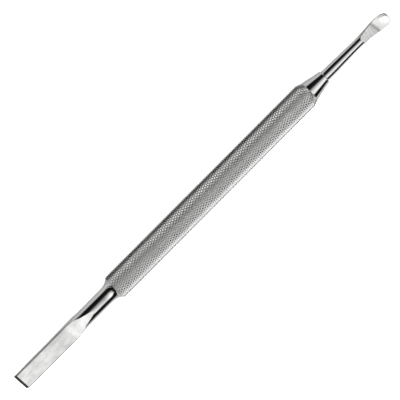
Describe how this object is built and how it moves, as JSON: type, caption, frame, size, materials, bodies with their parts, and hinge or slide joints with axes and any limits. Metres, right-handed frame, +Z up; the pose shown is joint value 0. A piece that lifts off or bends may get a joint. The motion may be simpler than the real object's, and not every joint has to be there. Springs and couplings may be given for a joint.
{
  "type": "cuticle pusher",
  "caption": "Slim round knurled steel handle with a flat bevelled scraper blade at one end and a small curved spoon pusher on a cone and thin rod at the other.",
  "frame": {"origin": "middle of the tool's length, on the surface that it lies on, under the handle's axis", "axes": "+X along the tool from the blade to the spoon, +Z up out of both working faces, +Y across"},
  "size_m": [0.1301, 0.007, 0.007],
  "materials": {
    "knurled_steel": "fine diamond knurl on bright stainless steel",
    "ferrule_steel": "mirror-polished stainless steel with faint turning lines",
    "blade_steel": "hand-polished stainless steel, slightly cloudy on the flat",
    "spoon_steel": "polished stainless steel, cross-ground to a satin at the root of the paddle and bright at its tip"
  },
  "bodies": {
    "root": {"handle_tube": "knurled_steel", "cone_ferrule": "ferrule_steel", "blade_tip": "blade_steel", "spoon_tip": "spoon_steel"}
  },
  "joints": []
}
